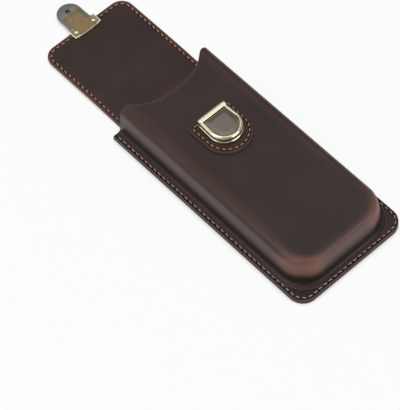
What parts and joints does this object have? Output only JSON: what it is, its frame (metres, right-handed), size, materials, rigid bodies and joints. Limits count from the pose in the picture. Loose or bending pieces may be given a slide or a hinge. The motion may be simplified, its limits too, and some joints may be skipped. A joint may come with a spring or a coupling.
{
  "type": "pen case",
  "caption": "Moulded leather pen case with a folding flap, a tongue lock with a press button, and a sliding tray whose walls keep the pens apart.",
  "frame": {"origin": "on the underside of the back panel, at the middle of the case", "axes": "+Z out of the front face, +Y towards the mouth and along the open flap, +X to the right seen from the front"},
  "size_m": [0.084, 0.2623, 0.0329],
  "materials": {
    "brown_leather": "waxed, smooth, soft sheen",
    "inner_leather": "matt",
    "antique_brass": "polished, pale antique",
    "tongue_brass": "cross-hatched, dull",
    "button_metal": "satin",
    "spring_steel": "plain"
  },
  "bodies": {
    "case": {"back_panel": "brown_leather", "front_shell": "brown_leather", "lock_patch": "brown_leather", "lock_base_plate": "antique_brass", "lock_frame": "antique_brass", "lock_back_plate": "spring_steel", "lock_rivet_left": "antique_brass", "lock_rivet_right": "antique_brass", "lock_spring": "spring_steel"},
    "button": {"lock_button": "button_metal", "lock_catch_pin": "antique_brass"},
    "flap_strip": {"flap_top": "brown_leather"},
    "flap": {"flap_front": "brown_leather", "flap_cover_plate": "antique_brass", "flap_tongue": "tongue_brass", "flap_rivet_left": "antique_brass", "flap_rivet_right": "antique_brass"},
    "tray": {"tray_base": "inner_leather", "tray_liner": "inner_leather", "divider_left": "inner_leather", "divider_right": "inner_leather"}
  },
  "joints": [
    {"name": "back_fold", "type": "hinge", "parent": "case", "child": "flap_strip", "pos_m": [0, 0.08265, 0.001], "axis": [-1, 0, 0], "range_deg": [-75, 0], "deforming": ["flap_top"]},
    {"name": "front_fold", "type": "hinge", "parent": "flap_strip", "child": "flap", "pos_m": [0, 0.11181, 0.0019], "axis": [-1, 0, 0], "range_deg": [-105, 0], "deforming": ["flap_front"]},
    {"name": "tray_slide", "type": "slide", "parent": "case", "child": "tray", "axis": [0, 1, 0], "range_m": [0, 0.07]},
    {"name": "button_press", "type": "slide", "parent": "case", "child": "button", "axis": [0, 0, -1], "range_m": [0, 0.0012], "stiffness_N_per_m": 300, "springref_m": -0.001, "deforming": ["lock_spring"]}
  ]
}
